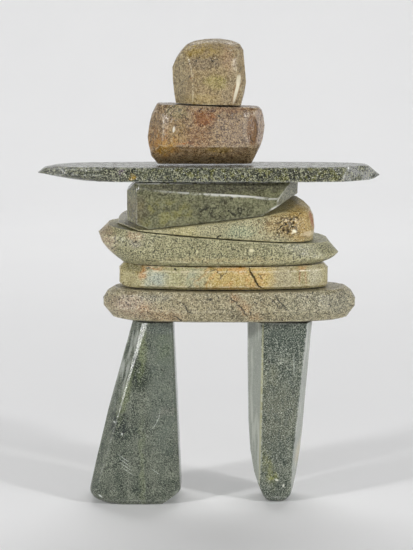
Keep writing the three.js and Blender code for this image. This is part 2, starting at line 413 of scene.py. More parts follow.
# %% Lines on a stone's face
NOISE_SEED = 5
STEP_ALONG = 0.25
noise.seed_set(NOISE_SEED)

# How fast each noise runs along a stone, and at what depth it is read.
SLOW, QUICK, WIDER = (0.45, 7.3), (1.7, 2.9), (0.9, 4.1)


def in_noise(x, z, kind):
    pace, depth = kind
    return Vector((pace * x, depth, pace * z))


def wandering(path, wander):
    """Close-set points along a path of (x, z) in millimetres, with each one's fullness.

    A slow noise bends the line and a quick one frays it. A third one varies its width."""
    length = sum(math.dist(a, b) for a, b in zip(path, path[1:]))
    points = []
    gone = 0.0
    for (x0, z0), (x1, z1) in zip(path, path[1:]):
        piece = math.dist((x0, z0), (x1, z1))
        steps = max(1, round(piece / STEP_ALONG))
        for i in range(steps + 1):
            x = x0 + (x1 - x0) * i / steps
            z = z0 + (z1 - z0) * i / steps
            bend = noise.noise_vector(in_noise(x, z, SLOW)) * wander
            bend += noise.noise_vector(in_noise(x, z, QUICK)) * wander * 0.6
            share = (gone + piece * i / steps) / length
            full = max(0.15, math.sin(math.pi * min(max(share, 0.02), 0.98)) ** 0.5)
            full *= 0.75 + 0.5 * noise.noise(in_noise(x, z, WIDER))
            points.append((x + bend.x, z + bend.z, full))
        gone += piece
    return points


# %% Smaller faces where a mark is to come
FACES_FRONT = -0.1


def split_big_faces():
    """Splits faces with more than four corners, which subdivide badly."""
    bpy.ops.mesh.select_face_by_sides(number=4, type="GREATER", extend=False)
    bpy.ops.mesh.quads_convert_to_tris()
    bpy.ops.mesh.select_all(action="DESELECT")


def refine(stone, marks, reach):
    """Subdivides the front faces that lie near any of the marks."""
    tree = plant_tree([(x * MM, 0, z * MM) for x, z, _ in marks])
    open_up(stone)
    bpy.ops.mesh.select_mode(type="FACE")
    split_big_faces()
    shape = bmesh.from_edit_mesh(stone.data)
    for face in shape.faces:
        if face.normal.y < FACES_FRONT:
            middle = face.calc_center_median()
            near = tree.find((middle.x, 0, middle.z))[2]
            face.select_set(near < reach * MM)
    bmesh.update_edit_mesh(stone.data)
    bpy.ops.mesh.subdivide(number_cuts=2)
    split_big_faces()
    let_go()


# %% What the colours will read
def keep_mark(stone, name, amount):
    """Stores a number for each vertex, or leaves the one there if that's larger."""
    layer = stone.data.attributes.get(name) or stone.data.attributes.new(name, "FLOAT", "POINT")
    before = np.empty(len(amount), np.float32)
    layer.data.foreach_get("value", before)
    layer.data.foreach_set("value", np.maximum(before, amount).astype(np.float32))


SOFT_EDGE = 5


def mark_side(stone, name, heading, spread=20):
    """Marks the faces that look within some degrees of a heading, 90 being the right."""
    normal = read_points(stone, "normal")
    turn = math.radians(heading)
    facing = normal[:, 0] * math.sin(turn) - normal[:, 1] * math.cos(turn)
    nearly = math.cos(math.radians(spread + SOFT_EDGE))
    wholly = math.cos(math.radians(spread - SOFT_EDGE))
    keep_mark(stone, name, step(facing, nearly, wholly))


def press_in(stone, amount, depth, name):
    """Presses points in along their normals, and marks them for the colours."""
    inwards = read_points(stone, "normal") * (amount * depth * MM)[:, None]
    move_points(stone, read_points(stone) - inwards)
    keep_mark(stone, name, amount)


def faces_front(stone):
    return read_points(stone, "normal")[:, 1] < FACES_FRONT


# %% Cut lines and sink pits
MARGIN = 0.9
GROOVE_FOOT = 1.5


def cut_lines(stone, name, lines, width, depth, wander):
    """Grooves along paths, of a width and a depth in millimetres at their fullest."""
    marks = []
    for line in lines:
        marks += wandering(line, wander)
    refine(stone, marks, width / 2 + MARGIN)
    tree = plant_tree([(x, 0, z) for x, z, _ in marks])
    place = read_points(stone)
    amount = np.zeros(len(place))
    for i in np.flatnonzero(faces_front(stone)):
        _, nearest, distance = tree.find((place[i, 0] / MM, 0, place[i, 2] / MM))
        foot = GROOVE_FOOT * (width / 2 * marks[nearest][2])
        if distance < foot:
            amount[i] = max(0.0, 1 - (distance / foot) ** 2)
    press_in(stone, amount, depth, name)


def sink_pits(stone, pits, depth):
    """Uneven hollows at (x, z, radius) in millimetres, as dark inside as a crack."""
    marks = [(x, z, 1) for x, z, _ in pits]
    refine(stone, marks, max(radius for _, _, radius in pits) + MARGIN)
    place, front = read_points(stone), faces_front(stone)
    amount = np.zeros(len(place))
    for x, z, radius in pits:
        across, up = place[:, 0] / MM - x, place[:, 2] / MM - z
        turn = np.arctan2(up, across)
        edge = radius * (1 + 0.22 * np.sin(2 * turn + x) + 0.16 * np.sin(3 * turn + z))
        away = np.hypot(across, up) / edge
        amount = np.maximum(amount, np.where(front, np.clip(1 - away * away, 0, 1), 0))
    press_in(stone, amount, depth, "crack")


print("Tools ready, grain", GRAIN, "mm")

# %% [markdown]
# ## Reading a rock
#
# Rock isn't one colour. A carver sees a ground colour, cloudy patches in it, fine grains
# of light and dark, stains where water has run, and dirt in every crack. The class below
# builds a material in that order, each layer laid over the last like a glaze.
#
# All patterns read Object coordinates, in the stone's own space, so they run through it
# as a bed of rock does and don't slide over its faces.

# %% A rock and its layers
LIGHT_ON_FRONT = 0.965
SHEEN = 0.022
DIRT = (40, 33, 26)
SCRATCHED = (204, 210, 200)
FRONT, FRONT_REACH = -30 * MM, 25 * MM
RIGHT_THROUGH = 1000
RAGGED = 9 * MM


def tone(red, green, blue):
    """The rock's own colour, from the colour seen, less the sheen and the light on it."""
    seen = [channel / 255 for channel in (red, green, blue)]
    linear = [c / 12.92 if c <= 0.04045 else ((c + 0.055) / 1.055) ** 2.4 for c in seen]
    return tuple(max(0.004, (c - SHEEN) / LIGHT_ON_FRONT) for c in linear) + (1,)


class Rock:
    """One rock's colours, laid over each other like glazes, and its polish."""

    def __init__(self, name, ground):
        self.material = bpy.data.materials.new(name)
        self.material.use_nodes = True
        self.tree = self.material.node_tree
        self.tree.nodes.clear()
        self.colour = tone(*ground)
        self.hollow = 0.0
        self.place = self.node("TexCoord").outputs["Object"]
        lumps = self.noise(self.place, 190, 4)
        drift = self.node("VectorMath", {0: lumps.outputs["Color"], 1: (0.5, 0.5, 0.5)},
                          operation="SUBTRACT")
        push = self.node("VectorMath", {0: drift.outputs[0], "Scale": RAGGED}, operation="SCALE")
        self.ragged = self.node("VectorMath",
                                {0: self.place, 1: push.outputs[0]}, operation="ADD").outputs[0]

    def node(self, kind, inputs=None, **settings):
        made = self.tree.nodes.new("ShaderNode" + kind)
        for name, value in settings.items():
            setattr(made, name, value)
        for name, value in (inputs or {}).items():
            if isinstance(value, bpy.types.NodeSocket):
                self.tree.links.new(value, made.inputs[name])
            else:
                made.inputs[name].default_value = value
        return made

    def noise(self, where, scale, detail, roughness=0.5):
        return self.node("TexNoise", {"Vector": where, "Scale": scale, "Detail": detail,
                                      "Roughness": roughness})

    def between(self, value, low, high, start=0.0, end=1.0):
        return self.node("MapRange",
                         {"Value": value, "From Min": low, "From Max": high,
                          "To Min": start, "To Max": end},
                         interpolation_type="SMOOTHSTEP").outputs[0]

    def times(self, one, other):
        return self.node("Math", {0: one, 1: other}, operation="MULTIPLY").outputs[0]

    def pattern_space(self, stretch, lean=0):
        return self.node("Mapping",
                         {"Vector": self.place, "Rotation": (0, math.radians(lean), 0),
                          "Scale": stretch}, vector_type="TEXTURE").outputs[0]

    def cloud(self, size, low=0.42, high=0.58, stretch=(1, 1, 1), detail=3):
        """Lumps of a size in millimetres, longer along an axis where stretched."""
        lumps = self.noise(self.pattern_space(stretch), 1000 / size, detail, 0.6)
        return self.between(lumps.outputs["Fac"], low, high)

    def vein(self, size, width, stretch, lean):
        """Thin wandering lines, where a cloud passes through its middle value."""
        lumps = self.noise(self.pattern_space(stretch, lean), 1000 / size, 5)
        off = self.node("Math", {0: lumps.outputs["Fac"], 1: 0.5}, operation="SUBTRACT")
        away = self.node("Math", {0: off.outputs[0]}, operation="ABSOLUTE")
        return self.between(away.outputs[0], 0, width, 1.0, 0.0)

    def spot(self, x, z, wide, high, lean=0, edge=0.5, clean=False):
        """A ragged oval patch round (x, z), with half its width and height in millimetres.

        It runs through the stone from front to back, but a clean one has a smooth outline that
        only the front shows, as an inclusion has; clean spots also place painted highlights."""
        near = self.node("Mapping",
                         {"Vector": self.place if clean else self.ragged,
                          "Location": (x * MM, FRONT if clean else 0, z * MM),
                          "Rotation": (0, math.radians(lean), 0),
                          "Scale": (wide * MM, FRONT_REACH if clean else RIGHT_THROUGH, high * MM)},
                         vector_type="TEXTURE")
        away = self.node("VectorMath", {0: near.outputs[0]}, operation="LENGTH")
        return self.between(away.outputs["Value"], 1 - edge, 1 + edge, 1.0, 0.0)

    def mark(self, name):
        return self.node("Attribute", attribute_name=name).outputs["Fac"]

    def tint(self, colour, amount, strength):
        """Lays a colour over the ones before, where amount says and as strongly as it says."""
        mix = self.node("Mix", {0: self.times(amount, strength), 6: self.colour,
                                7: tone(*colour)}, data_type="RGBA")
        self.colour = mix.outputs[2]

    def mottle(self, colour, strength, size, *edges, **shape):
        """A tint in the shape of a cloud."""
        self.tint(colour, self.cloud(size, *edges, **shape), strength)

    def stain(self, colour, strength, x, z, wide, high, through=None, **shape):
        """A tint in the shape of one spot, patchy where it only shows through a cloud."""
        spot = self.spot(x, z, wide, high, **shape)
        self.tint(colour, self.times(spot, through) if through else spot, strength)

    def fleck(self, *colour_and_place, **shape):
        """A clean stain, for an inclusion or the colour of one small ground face, and also for
        painted highlights.
        """
        self.stain(*colour_and_place, clean=True, **shape)

    def grains(self, dark, light, size, strength):
        """Fine dark and light grains of about a size in millimetres. The dark ones lie low."""
        lumps = self.noise(self.place, 1000 / size, 4, 0.62)
        self.hollow = self.between(lumps.outputs["Fac"], 0.5, 0.38)
        self.tint(dark, self.hollow, strength)
        self.tint(light, self.between(lumps.outputs["Fac"], 0.51, 0.63), strength)

    def specks(self, colour, size, share, strength=0.9):
        """Scattered small specks, fewer as the share goes up."""
        self.tint(colour, self.cloud(size, share, share + 0.05, detail=1), strength)

    def finish(self, dull, bright, bump, arris_wear_and_sheen, arris_wear_and_sheen_strength):
        """The polish, the dirt in cracks, and the pale arrises: partly wear that hands keep smooth,
        partly a painted highlight along the arrises.
        """
        # Painted highlight and wear: the arrises are painted paler through a cloud, partly for real
        # wear and partly for the glints that polished arrises catch.
        self.tint(arris_wear_and_sheen, self.times(self.mark("arris"), self.cloud(2.5, 0.38, 0.6)), arris_wear_and_sheen_strength)
        self.tint(DIRT, self.mark("crack"), 0.92)
        self.tint(SCRATCHED, self.mark("scratch"), 0.75)
        smears = self.noise(self.place, 220, 4).outputs["Fac"]
        rough = self.between(smears, 0.35, 0.65, bright, dull)
        rough = self.times(rough, self.between(self.mark("arris"), 0, 1, 1.0, 0.5))
        grit = self.noise(self.place, 850, 3, 0.7)
        height = self.node("Math", {0: grit.outputs["Fac"], 1: self.hollow},
                           operation="SUBTRACT")
        relief = self.node("Bump", {
            "Height": height.outputs[0], "Strength": bump, "Distance": 0.25 * MM})
        shader = self.node("BsdfPrincipled", {
            "Base Color": self.colour, "Roughness": rough, "IOR": 1.55,
            "Normal": relief.outputs["Normal"]})
        output = self.node("OutputMaterial")
        self.tree.links.new(shader.outputs["BSDF"], output.inputs["Surface"])
        return self.material


print("Light taken to fall on the front:", LIGHT_ON_FRONT)

# %% [markdown]
# ## Setting a stone down
#
# A finished stone is shaded smooth, gets its rock, and stands in for its solid. The
# arris attribute is stored only now, when no step changes the mesh any more.

# %% Set a stone down
ARRIS_CORE, ARRIS_EDGE = 0.3, 1.3


def store_arrises(stone):
    arrises = arrises_of[stone.name]
    away = np.array([arrises.find(point)[2] for point in read_points(stone)]) / MM
    keep_mark(stone, "arris", 1 - step(away, ARRIS_CORE, ARRIS_EDGE))


def set_down(stone, node, rock):
    store_arrises(stone)
    for mark in ("crack", "scratch"):
        if not stone.data.attributes.get(mark):
            keep_mark(stone, mark, np.zeros(len(stone.data.vertices)))
    take(stone)
    bpy.ops.object.shade_smooth()
    stone.data.materials.append(rock)
    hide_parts(node)
    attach(stone, "root")
    print(node, "triangles:", sum(len(face.vertices) - 2 for face in stone.data.polygons))


# %% [markdown]
# ## The legs
#
# Both legs are sawn and ground from one serpentine: a dull grey-green with darker clouds,
# and a polish that shows fine scratches. Their narrow side facets are sawn and barely
# polished, and they're painted paler, partly as a painted reflection of the bright sweep
# that they catch edge-on. Yellow-green veins run down the left leg. Here a vein is
# only a tall, narrow spot.

# %% The legs' rock
def cut_serpentine(name):
    rock = Rock(name, (92, 98, 88))
    rock.mottle((118, 123, 110), 0.75, 9, stretch=(1, 1, 1.8))
    rock.mottle((60, 70, 62), 0.8, 7, 0.52, 0.66, stretch=(1, 1, 1.6))
    return rock


def make_left_leg_rock():
    rock = cut_serpentine("veined_serpentine")
    rock.stain((110, 118, 108), 0.5, -33, 85, 9, 50)
    rock.stain((110, 122, 98), 0.5, -30, 112, 7, 12)
    rock.stain((44, 54, 46), 0.9, -49, 94, 7, 12)
    rock.stain((48, 56, 54), 0.9, -64, 58, 6, 10)
    # Painted highlights: two small white flecks in the dark patch stand where glints show.
    rock.fleck((228, 232, 226), 0.8, -66.9, 60.3, 0.9, 0.7)
    rock.fleck((228, 232, 226), 0.8, -61.5, 51.9, 0.7, 0.8)
    rock.stain((92, 100, 98), 0.5, -33, 127, 12, 3.5)
    rock.stain((118, 128, 84), 0.6, -59, 80, 2.2, 16, lean=16, edge=0.9)
    rock.stain((132, 142, 100), 0.6, -47, 110, 2.2, 16, lean=4, edge=0.8)
    rock.stain((126, 134, 106), 0.6, -47.6, 25, 1.7, 32, edge=0.8)
    rock.stain((134, 132, 124), 0.4, -30, 68, 8, 2.4, lean=-15, edge=0.8)
    rock.grains((32, 39, 34), (146, 151, 134), 0.8, 0.82)
    rock.stain((100, 107, 98), 0.5, -30, 88, 11, 46, through=rock.cloud(8, 0.4, 0.54))
    # Painted highlight: a white streak on the rounded lower left corner.
    rock.fleck((222, 226, 220), 0.8, -77.2, 6.8, 1.7, 0.6, lean=40)
    # Painted reflection, in part: the sawn side facet gets paler streaks, which also stand in for
    # the bright sweep it reflects edge-on.
    streaks_and_sheen = rock.times(rock.mark("sawn_and_sheen"), rock.cloud(4, 0.42, 0.6, stretch=(1, 1, 9)))
    rock.tint((166, 170, 162), rock.times(streaks_and_sheen, rock.spot(-58, 110, 24, 36)), 0.75)
    rock.specks((204, 206, 194), 1.1, 0.745)
    return rock.finish(dull=0.22, bright=0.1, bump=0.15, arris_wear_and_sheen=(190, 194, 184), arris_wear_and_sheen_strength=0.25)


def make_right_leg_rock():
    rock = cut_serpentine("speckled_serpentine")
    rock.stain((70, 80, 74), 0.7, 56, 120, 18, 12)
    rock.stain((128, 130, 108), 0.6, 43, 92, 6, 10)
    rock.stain((112, 114, 98), 0.6, 50, 66, 16, 20)
    rock.stain((150, 152, 100), 0.6, 43, 26, 3, 12, lean=-14, edge=0.9)
    rock.stain((166, 170, 96), 0.7, 46.6, 20, 2.4, 2, edge=0.9)
    rock.mottle((78, 86, 80), 0.6, 4, 0.5, 0.62, stretch=(1, 1, 2.5))
    rock.grains((48, 55, 50), (168, 172, 158), 0.8, 0.85)
    rock.specks((214, 218, 204), 1.0, 0.7)
    # Painted reflection, in part: the sawn side facets are painted paler for their duller finish
    # and for the pale sweep they reflect at a grazing angle.
    rock.tint((168, 172, 164), rock.mark("sawn_and_sheen"), 0.72)
    streaks_and_sheen = rock.times(rock.mark("sawn_and_sheen"), rock.cloud(4, 0.5, 0.66, stretch=(1, 1, 9)))
    rock.tint((194, 196, 186), streaks_and_sheen, 0.6)
    # Partly wear and partly a painted highlight: a pale line along the rounded arris.
    rock.fleck((178, 176, 136), 0.7, 37.2, 75, 0.8, 62, lean=1, edge=0.5)
    # Painted highlights: two small white glints on the foot.
    rock.fleck((222, 222, 206), 0.9, 48.6, 17.6, 1.3, 0.8, lean=20)
    rock.fleck((222, 222, 210), 0.9, 53.4, 13.4, 0.7, 1.3, lean=10)
    rock.fleck((200, 188, 156), 0.7, 64.6, 36, 2.4, 8, lean=8, edge=0.9)
    return rock.finish(dull=0.26, bright=0.13, bump=0.2, arris_wear_and_sheen=(200, 204, 196), arris_wear_and_sheen_strength=0.5)


# %% [markdown]
# The left leg's front arris has a narrow polished flat, which flashes. Lower down there's
# one curved scratch, four slanting ones and a short one, a few hundredths of a millimetre
# deep.

# %% Left leg
def line_bundle(start, end, count, apart):
    """Parallel scratches, each one set over from the last."""
    return [[(start[0] + apart[0] * i, start[1] + apart[1] * i),
             (end[0] + apart[0] * i, end[1] + apart[1] * i)] for i in range(count)]


left_leg = lift_stone("left_leg")
rub(left_leg, sharper_than=20, keep=1.0, reach=4.0)
soften(left_leg, -80, 4, reach=16, rounds=70)
ripple(left_leg, swell=(24, 0.4), waver=(9, 0.1))
grind_flat(left_leg, heading=-28, tilt=10.6, bite=1.5)
mark_side(left_leg, "sawn_and_sheen", heading=-56)
scratches = line_bundle((-64.8, 37.4), (-56, 31.2), 4, (0.9, -3.1))
scratches += [[(-34.4, 71), (-34.6, 67.4), (-35.4, 63.8), (-36.9, 60.2), (-39, 57), (-41.8, 54.4)],
              [(-41, 27), (-34.6, 22.4)]]
cut_lines(left_leg, "scratch", scratches, width=0.5, depth=0.05, wander=0.15)
leg_pits = [(-23.4, 101, 0.7), (-37, 118, 0.5), (-26, 75, 0.6), (-57.5, 63, 0.9), (-60, 66, 0.8)]
sink_pits(left_leg, leg_pits, depth=0.3)
set_down(left_leg, "left_leg", make_left_leg_rock())

# %% Right leg
right_leg = lift_stone("right_leg")
rub(right_leg, sharper_than=20, keep=1.0, reach=4.0)
soften(right_leg, 48, 0, reach=26, rounds=50)
ripple(right_leg, swell=(22, 0.4), waver=(8, 0.1))
mark_side(right_leg, "sawn_and_sheen", heading=-60)
mark_side(right_leg, "sawn_and_sheen", heading=70)
leg_pits = [(42.5, 103.7, 1.0), (60.3, 81.4, 0.8), (59, 69.1, 0.8), (46.5, 23, 0.9)]
sink_pits(right_leg, leg_pits, depth=0.4)
cut_lines(right_leg, "scratch", [[(60.1, 109), (60.2, 94)]], width=0.55, depth=0.05, wander=0.2)
set_down(right_leg, "right_leg", make_right_leg_rock())

# %% [markdown]
# ## The hips
#
# The slab across the legs is the roughest: a tan and grey rock, pinkish at the left, with
# dark cracks that slant down to the right and rust where they cross.

# %% The hips' rock
def make_hip_rock():
    rock = Rock("tan_hip_rock", (144, 136, 106))
    rock.mottle((164, 154, 121), 0.75, 13, stretch=(1.7, 1, 1))
    rock.mottle((122, 116, 94), 0.75, 6, 0.52, 0.66, stretch=(1.5, 1, 1))
    rock.stain((180, 150, 128), 0.55, -54, 144, 15, 8)
    rock.stain((188, 148, 104), 0.6, -45, 143, 5, 2.2)
    rock.stain((184, 150, 112), 0.55, -30, 138, 13, 5)
    rock.stain((134, 136, 124), 0.5, -38, 151, 12, 2.4)
    rock.stain((138, 140, 118), 0.5, 70, 145, 24, 10)
    rock.stain((130, 132, 120), 0.5, 95, 147, 11, 8)
    rock.stain((184, 142, 96), 0.7, 18, 151, 3.6, 3, edge=0.8)
    rock.stain((186, 144, 98), 0.65, 25, 144, 4, 3.6, edge=0.8)
    rock.stain((182, 144, 98), 0.6, 32, 137.5, 4, 3, edge=0.8)
    rock.grains((50, 44, 30), (208, 200, 172), 0.9, 0.95)
    rock.grains((98, 90, 70), (178, 168, 138), 2.4, 0.4)
    rock.specks((66, 56, 40), 2.0, 0.69, 0.85)
    return rock.finish(dull=0.46, bright=0.32, bump=0.6, arris_wear_and_sheen=(208, 200, 172), arris_wear_and_sheen_strength=0.6)


# %% Hip slab
hip_slab = lift_stone("hip_slab")
rub(hip_slab, sharper_than=24, rounds=25, keep=0.6, reach=4.0)
ripple(hip_slab, swell=(17, 0.7), waver=(5, 0.2))
pock(hip_slab, size=1.6, depth=0.25, share=0.3)
grind_flat(hip_slab, heading=40, tilt=8, bite=2.2)
hip_cracks = [[(-18.8, 148.5), (-15.6, 144), (-11.4, 138.8)],
              [(-25.6, 139.6), (-22, 136.4), (-18.4, 134.2)],
              [(13, 153.5), (19, 148), (23, 144), (27.5, 137.6)],
              [(45.4, 154), (51, 147), (56.2, 141)]]
cut_lines(hip_slab, "crack", hip_cracks, width=1.05, depth=0.6, wander=0.9)
side_cracks = [[(-1.8, 154.4), (0.4, 151.6)], [(13.8, 141.6), (19, 142.4), (24.6, 141)],
               [(19.6, 138), (22.4, 141)], [(28, 142.6), (30, 139)],
               [(41, 153), (47, 147), (50, 142)], [(31, 149), (34, 147)],
               [(30.6, 152), (33.6, 151.4)], [(-16, 145.4), (-13.6, 141)]]
cut_lines(hip_slab, "crack", side_cracks, width=0.65, depth=0.3, wander=0.8)
hip_pits = [(1.2, 150.4, 1.2), (2.8, 147.8, 0.9), (-72, 150, 0.7), (-63, 148.6, 0.7),
            (-73, 145.4, 0.6), (-65, 143, 0.7), (-54, 151, 0.6), (-50, 147, 0.5),
            (12.6, 152.6, 0.8), (33, 144.6, 0.7), (36, 150, 0.6), (46, 141, 0.7),
            (61, 148, 0.5), (8, 140, 0.5)]
sink_pits(hip_slab, hip_pits, depth=0.5)
set_down(hip_slab, "hip_slab", make_hip_rock())

# %% [markdown]
# ## The belt
#
# The thin slab is the most colourful: pale grey-green at the left, then ochre with orange
# veins, split by one black crack, then beige and grey with two upright brown streaks.
# Each field of colour is a broad spot laid over a beige ground.

# %% The belt's rock
def make_belt_rock():
    rock = Rock("ochre_belt_rock", (158, 147, 100))
    rock.mottle((176, 167, 122), 0.7, 8, stretch=(1, 1, 1.6))
    rock.mottle((156, 150, 112), 0.5, 5, 0.54, 0.68, stretch=(1, 1, 1.4))
    rock.stain((118, 116, 86), 0.75, -53, 170.5, 7, 3)
    rock.stain((166, 178, 168), 0.8, -37, 163.5, 8, 7, edge=0.7)
    rock.stain((166, 168, 130), 0.6, -22, 166, 7, 9, edge=0.7)
    rock.stain((160, 170, 148), 0.7, -9, 164, 8, 8, edge=0.7)
    rock.stain((196, 166, 94), 0.75, 14, 164, 17, 12)
    rock.stain((202, 174, 104), 0.75, 37, 165, 9, 12)
    rock.stain((168, 158, 130), 0.65, 52, 165, 8, 12)
    orange = rock.times(rock.vein(9, 0.07, stretch=(1, 1, 2), lean=50), rock.spot(14, 164, 26, 14))
    rock.tint((198, 144, 74), orange, 0.55)
    rock.stain((204, 150, 84), 0.6, 22, 170, 5, 3, edge=0.8)
    rock.stain((194, 136, 72), 0.75, -46, 167, 2.6, 3.6, lean=16, edge=0.7)
    rock.stain((184, 128, 74), 0.6, -38, 171, 7, 0.9)
    rock.fleck((150, 104, 58), 0.75, 63.6, 165, 0.8, 6, lean=3, edge=0.5)
    rock.fleck((156, 112, 66), 0.7, 67.8, 164, 0.6, 6, lean=-4, edge=0.5)
    rock.stain((186, 146, 98), 0.7, 65.5, 170.2, 5, 0.9)
    rock.stain((184, 179, 152), 0.7, 75, 165, 5.6, 8)
    rock.grains((74, 60, 32), (220, 212, 178), 0.9, 0.62)
    return rock.finish(dull=0.4, bright=0.22, bump=0.4, arris_wear_and_sheen=(220, 210, 180), arris_wear_and_sheen_strength=0.7)


# %% Belt slab
belt_slab = lift_stone("belt_slab")
rub(belt_slab, sharper_than=25, reach=3.0)
ripple(belt_slab, swell=(14, 0.45), waver=(5, 0.12))
grind_flat(belt_slab, heading=-42, tilt=0, bite=2.4)
cut_lines(belt_slab, "crack", [[(28.3, 172), (30.1, 166.8), (32.9, 162), (36.8, 156.6)]],
          width=1.6, depth=1.4, wander=0.6)
fine_cracks = [[(-17, 156), (-14, 158.4), (-10.6, 161)], [(14.4, 171.4), (10, 167), (6.4, 164)],
               [(4.6, 171), (6.8, 168.4), (9, 167)], [(9.6, 167.4), (7.2, 163)],
               [(-24.4, 172), (-22.8, 169.6)], [(33, 169), (38, 163)], [(0, 169), (5, 171)],
               [(-45, 170.4), (-40, 171.4)]]
cut_lines(belt_slab, "crack", fine_cracks, width=0.6, depth=0.35, wander=0.7)
sink_pits(belt_slab, [(-23.4, 170.6, 1.0), (8.6, 166.4, 0.7), (-60.6, 158.6, 0.5)], depth=0.6)
set_down(belt_slab, "belt_slab", make_belt_rock())

# %% [markdown]
# ## The chest
#
# A khaki slab, evenly peppered with green-black grains, pinkish where its left end was
# ground, and with a few cream inclusions.

# %% The chest's rock
def make_chest_rock():
    rock = Rock("khaki_chest_rock", (144, 140, 106))
    rock.mottle((162, 157, 120), 0.65, 11, stretch=(1.6, 1, 1))
    rock.mottle((122, 120, 86), 0.65, 6, 0.52, 0.66)
    rock.stain((182, 156, 134), 0.75, -73, 190, 7, 12)
    rock.stain((180, 146, 110), 0.65, -52, 193.5, 6, 2.4)
    rock.stain((150, 140, 132), 0.6, -51, 188, 4, 3)
    # Partly wear and partly a painted highlight: a pale line along the lower front arris.
    rock.stain((184, 166, 118), 0.6, 14, 177.6, 42, 1.6, edge=0.8)
    rock.stain((158, 156, 136), 0.5, 72, 188, 18, 7)
    rock.grains((40, 40, 22), (202, 198, 162), 0.9, 0.95)
    rock.grains((94, 94, 62), (170, 166, 130), 2.0, 0.4)
    rock.specks((60, 58, 40), 1.8, 0.67, 0.8)
    rock.fleck((222, 216, 178), 0.9, 29.6, 184.4, 1.9, 1.2)
    rock.fleck((212, 206, 166), 0.8, -8, 183.6, 0.8, 1.1, lean=20)
    rock.fleck((226, 224, 200), 0.9, 59.4, 190.4, 1.1, 0.8)
    return rock.finish(dull=0.46, bright=0.3, bump=0.6, arris_wear_and_sheen=(214, 208, 172), arris_wear_and_sheen_strength=0.65)


# %% Chest slab
chest_slab = lift_stone("chest_slab")
rub(chest_slab, sharper_than=27, rounds=50)
ripple(chest_slab, swell=(18, 0.6), waver=(5, 0.15))
pock(chest_slab, size=1.5, depth=0.22, share=0.28)
chest_pits = [(-22.7, 191, 0.9), (-51, 190, 1.0), (-66, 188, 0.7), (-62, 184, 0.6),
              (-57, 194, 0.6), (-60, 179, 0.6), (-48, 180, 0.6), (-39, 183, 0.5),
              (4, 182, 0.6), (12, 180, 0.5), (-70, 193, 0.6), (-68, 183.6, 0.8),
              (-63.6, 190, 0.6), (-58, 187, 0.7), (-54, 183, 0.6), (-44.6, 187.4, 0.6),
              (-42, 178.6, 0.7), (-30, 180, 0.5), (-74, 188, 0.6)]
sink_pits(chest_slab, chest_pits, depth=0.5)
cut_lines(chest_slab, "crack", [[(-53, 188.6), (-50, 190), (-47.4, 189)]],
          width=0.5, depth=0.3, wander=0.6)
set_down(chest_slab, "chest_slab", make_chest_rock())

# %% [markdown]
# ## The wedge
#
# The slab that levels the shoulders is thick at the right and runs out at the left. A
# stone never runs out to a knife edge: it chips. So the last millimetre of thickness is
# cut off first, which also leaves Remesh a thickness that it can fill with whole faces.
#
# Its right end is ochre with a rust-red edge, and has a cluster of deep pits with a white
# crystal among them.

# %% The wedge's rock
def make_wedge_rock():
    rock = Rock("pale_wedge_rock", (154, 150, 116))
    rock.mottle((174, 168, 132), 0.65, 9, stretch=(1.5, 1, 1))
    rock.mottle((132, 130, 98), 0.6, 5, 0.52, 0.66)
    rock.stain((186, 176, 116), 0.5, -18, 197, 10, 5)
    rock.stain((146, 158, 128), 0.7, 22, 197, 10, 5)
    rock.stain((178, 142, 68), 0.85, 64, 202, 12, 14)
    rock.stain((176, 144, 84), 0.6, 48, 203, 9, 8)
    # Painted reflection: the grey at the left end stands in for the bright sweep that its top
    # reflects.
    rock.stain((148, 146, 146), 0.7, -60, 203, 10, 7)
    rock.grains((58, 53, 27), (210, 202, 166), 0.9, 0.85)
    rock.stain((88, 74, 38), 0.9, 55, 201, 8, 9, through=rock.cloud(3, 0.49, 0.57))
    rock.stain((100, 76, 42), 0.75, 42, 200, 12, 9, through=rock.cloud(3, 0.54, 0.62))
    rock.fleck((146, 74, 40), 0.85, 72.4, 204, 1.5, 10, lean=-14, edge=0.5)
    # Painted shadow: a dark olive band high at the right end, where the slabs above shade the
    # wedge's top.
    rock.fleck((92, 88, 58), 0.7, 59, 217, 10, 2.6, lean=10)
    rock.stain((216, 200, 168), 0.6, 70, 194.5, 4, 1.6)
    rock.fleck((238, 232, 206), 1.0, 59.6, 197, 1.6, 1.1, lean=25, edge=0.4)
    rock.fleck((226, 214, 180), 0.9, 58.4, 196, 1.1, 0.7, lean=-30, edge=0.5)
    return rock.finish(dull=0.44, bright=0.28, bump=0.5, arris_wear_and_sheen=(206, 198, 156), arris_wear_and_sheen_strength=0.6)


# %% Wedge slab
def chip_thin_edge(stone, through, outwards):
    """Cuts off what lies beyond an upright plane, where the stone would be too thin."""
    open_up(stone)
    bpy.ops.mesh.bisect(plane_co=through, plane_no=outwards, use_fill=True, clear_outer=True)
    let_go()


wedge_slab = lift_stone("wedge_slab")
chip_thin_edge(wedge_slab, through=(-0.0443, -0.031, 0.2), outwards=(-0.195, -0.13, 0))
rub(wedge_slab, sharper_than=27, rounds=45, grain=0.66)
ripple(wedge_slab, swell=(15, 0.3), waver=(5, 0.12))
wedge_pits = [(55.4, 196.8, 1.7), (57.4, 205.4, 1.2), (59, 202.8, 1.0), (53.4, 202.4, 1.2),
              (50, 200.6, 0.9), (58.4, 200.2, 0.9), (61.6, 206.6, 0.8), (47.6, 196.2, 0.9),
              (51.8, 198, 0.8), (6.2, 193.6, 1.1), (7.8, 194.4, 0.9)]
sink_pits(wedge_slab, wedge_pits, depth=1.1)
wedge_cracks = [[(57.6, 206.4), (55, 203), (50.4, 200.8), (46, 197)],
                [(59, 203), (57.2, 199.6), (55.6, 196.4)], [(53, 206), (50, 203.4), (45, 203)],
                [(62, 207.4), (65, 209.6)], [(50.6, 197.4), (47, 193.4)]]
cut_lines(wedge_slab, "crack", wedge_cracks, width=0.7, depth=0.4, wander=0.9)
set_down(wedge_slab, "wedge_slab", make_wedge_rock())
